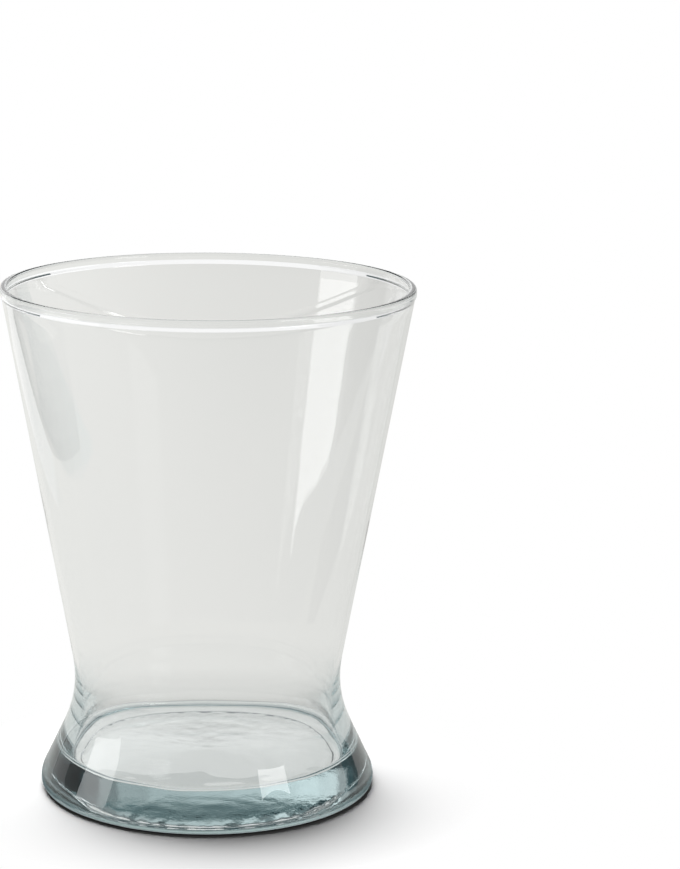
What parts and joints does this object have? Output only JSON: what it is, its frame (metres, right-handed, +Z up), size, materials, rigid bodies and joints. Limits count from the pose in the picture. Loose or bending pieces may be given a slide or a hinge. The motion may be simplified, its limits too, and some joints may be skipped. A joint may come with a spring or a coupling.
{
  "type": "flower vase",
  "caption": "Clear blown-glass vase: a cone that opens upwards from a pinched waist, on a flared foot with a thick solid base and a fire-polished lip.",
  "frame": {"origin": "centre of the standing ring under the foot, on the surface that the vase stands on", "axes": "+Z up along the axis of the vase, from the base to the mouth; the vase is round, so X and Y are free"},
  "size_m": [0.2, 0.2, 0.25],
  "materials": {
    "clear_glass": "clear fire-polished soda-lime glass, faint aqua where it is thick"
  },
  "bodies": {
    "root": {"vase_body": "clear_glass"}
  },
  "joints": []
}
